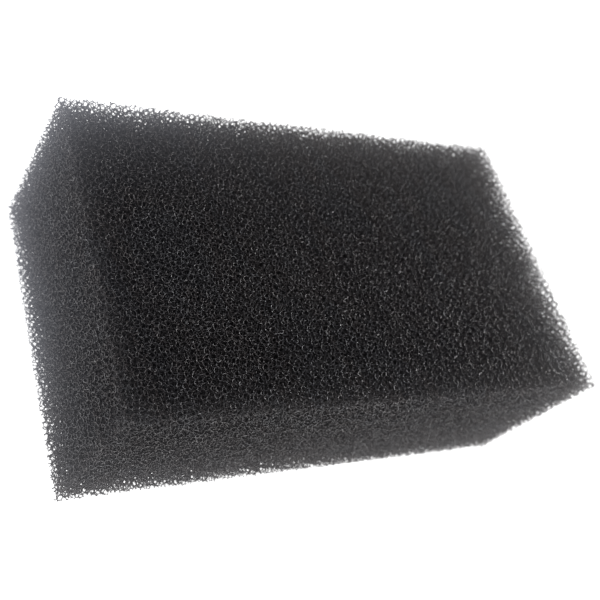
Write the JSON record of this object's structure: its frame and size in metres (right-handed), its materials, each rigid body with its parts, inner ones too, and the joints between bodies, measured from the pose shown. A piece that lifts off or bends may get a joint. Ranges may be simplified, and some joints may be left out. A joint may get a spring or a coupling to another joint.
{
  "type": "foam air filter element",
  "caption": "Rectangular block of charcoal open-cell (reticulated) foam that filters the intake air of a small engine.",
  "frame": {"origin": "middle of the lower cut face, the one that faces the engine", "axes": "+Z through the thickness, towards the upper face where air enters; +X along the length; +Y along the width"},
  "size_m": [0.115, 0.067, 0.039],
  "materials": {
    "foam": "open-cell foam struts, slightly glossy"
  },
  "bodies": {
    "root": {"foam_element": "foam"}
  },
  "joints": []
}
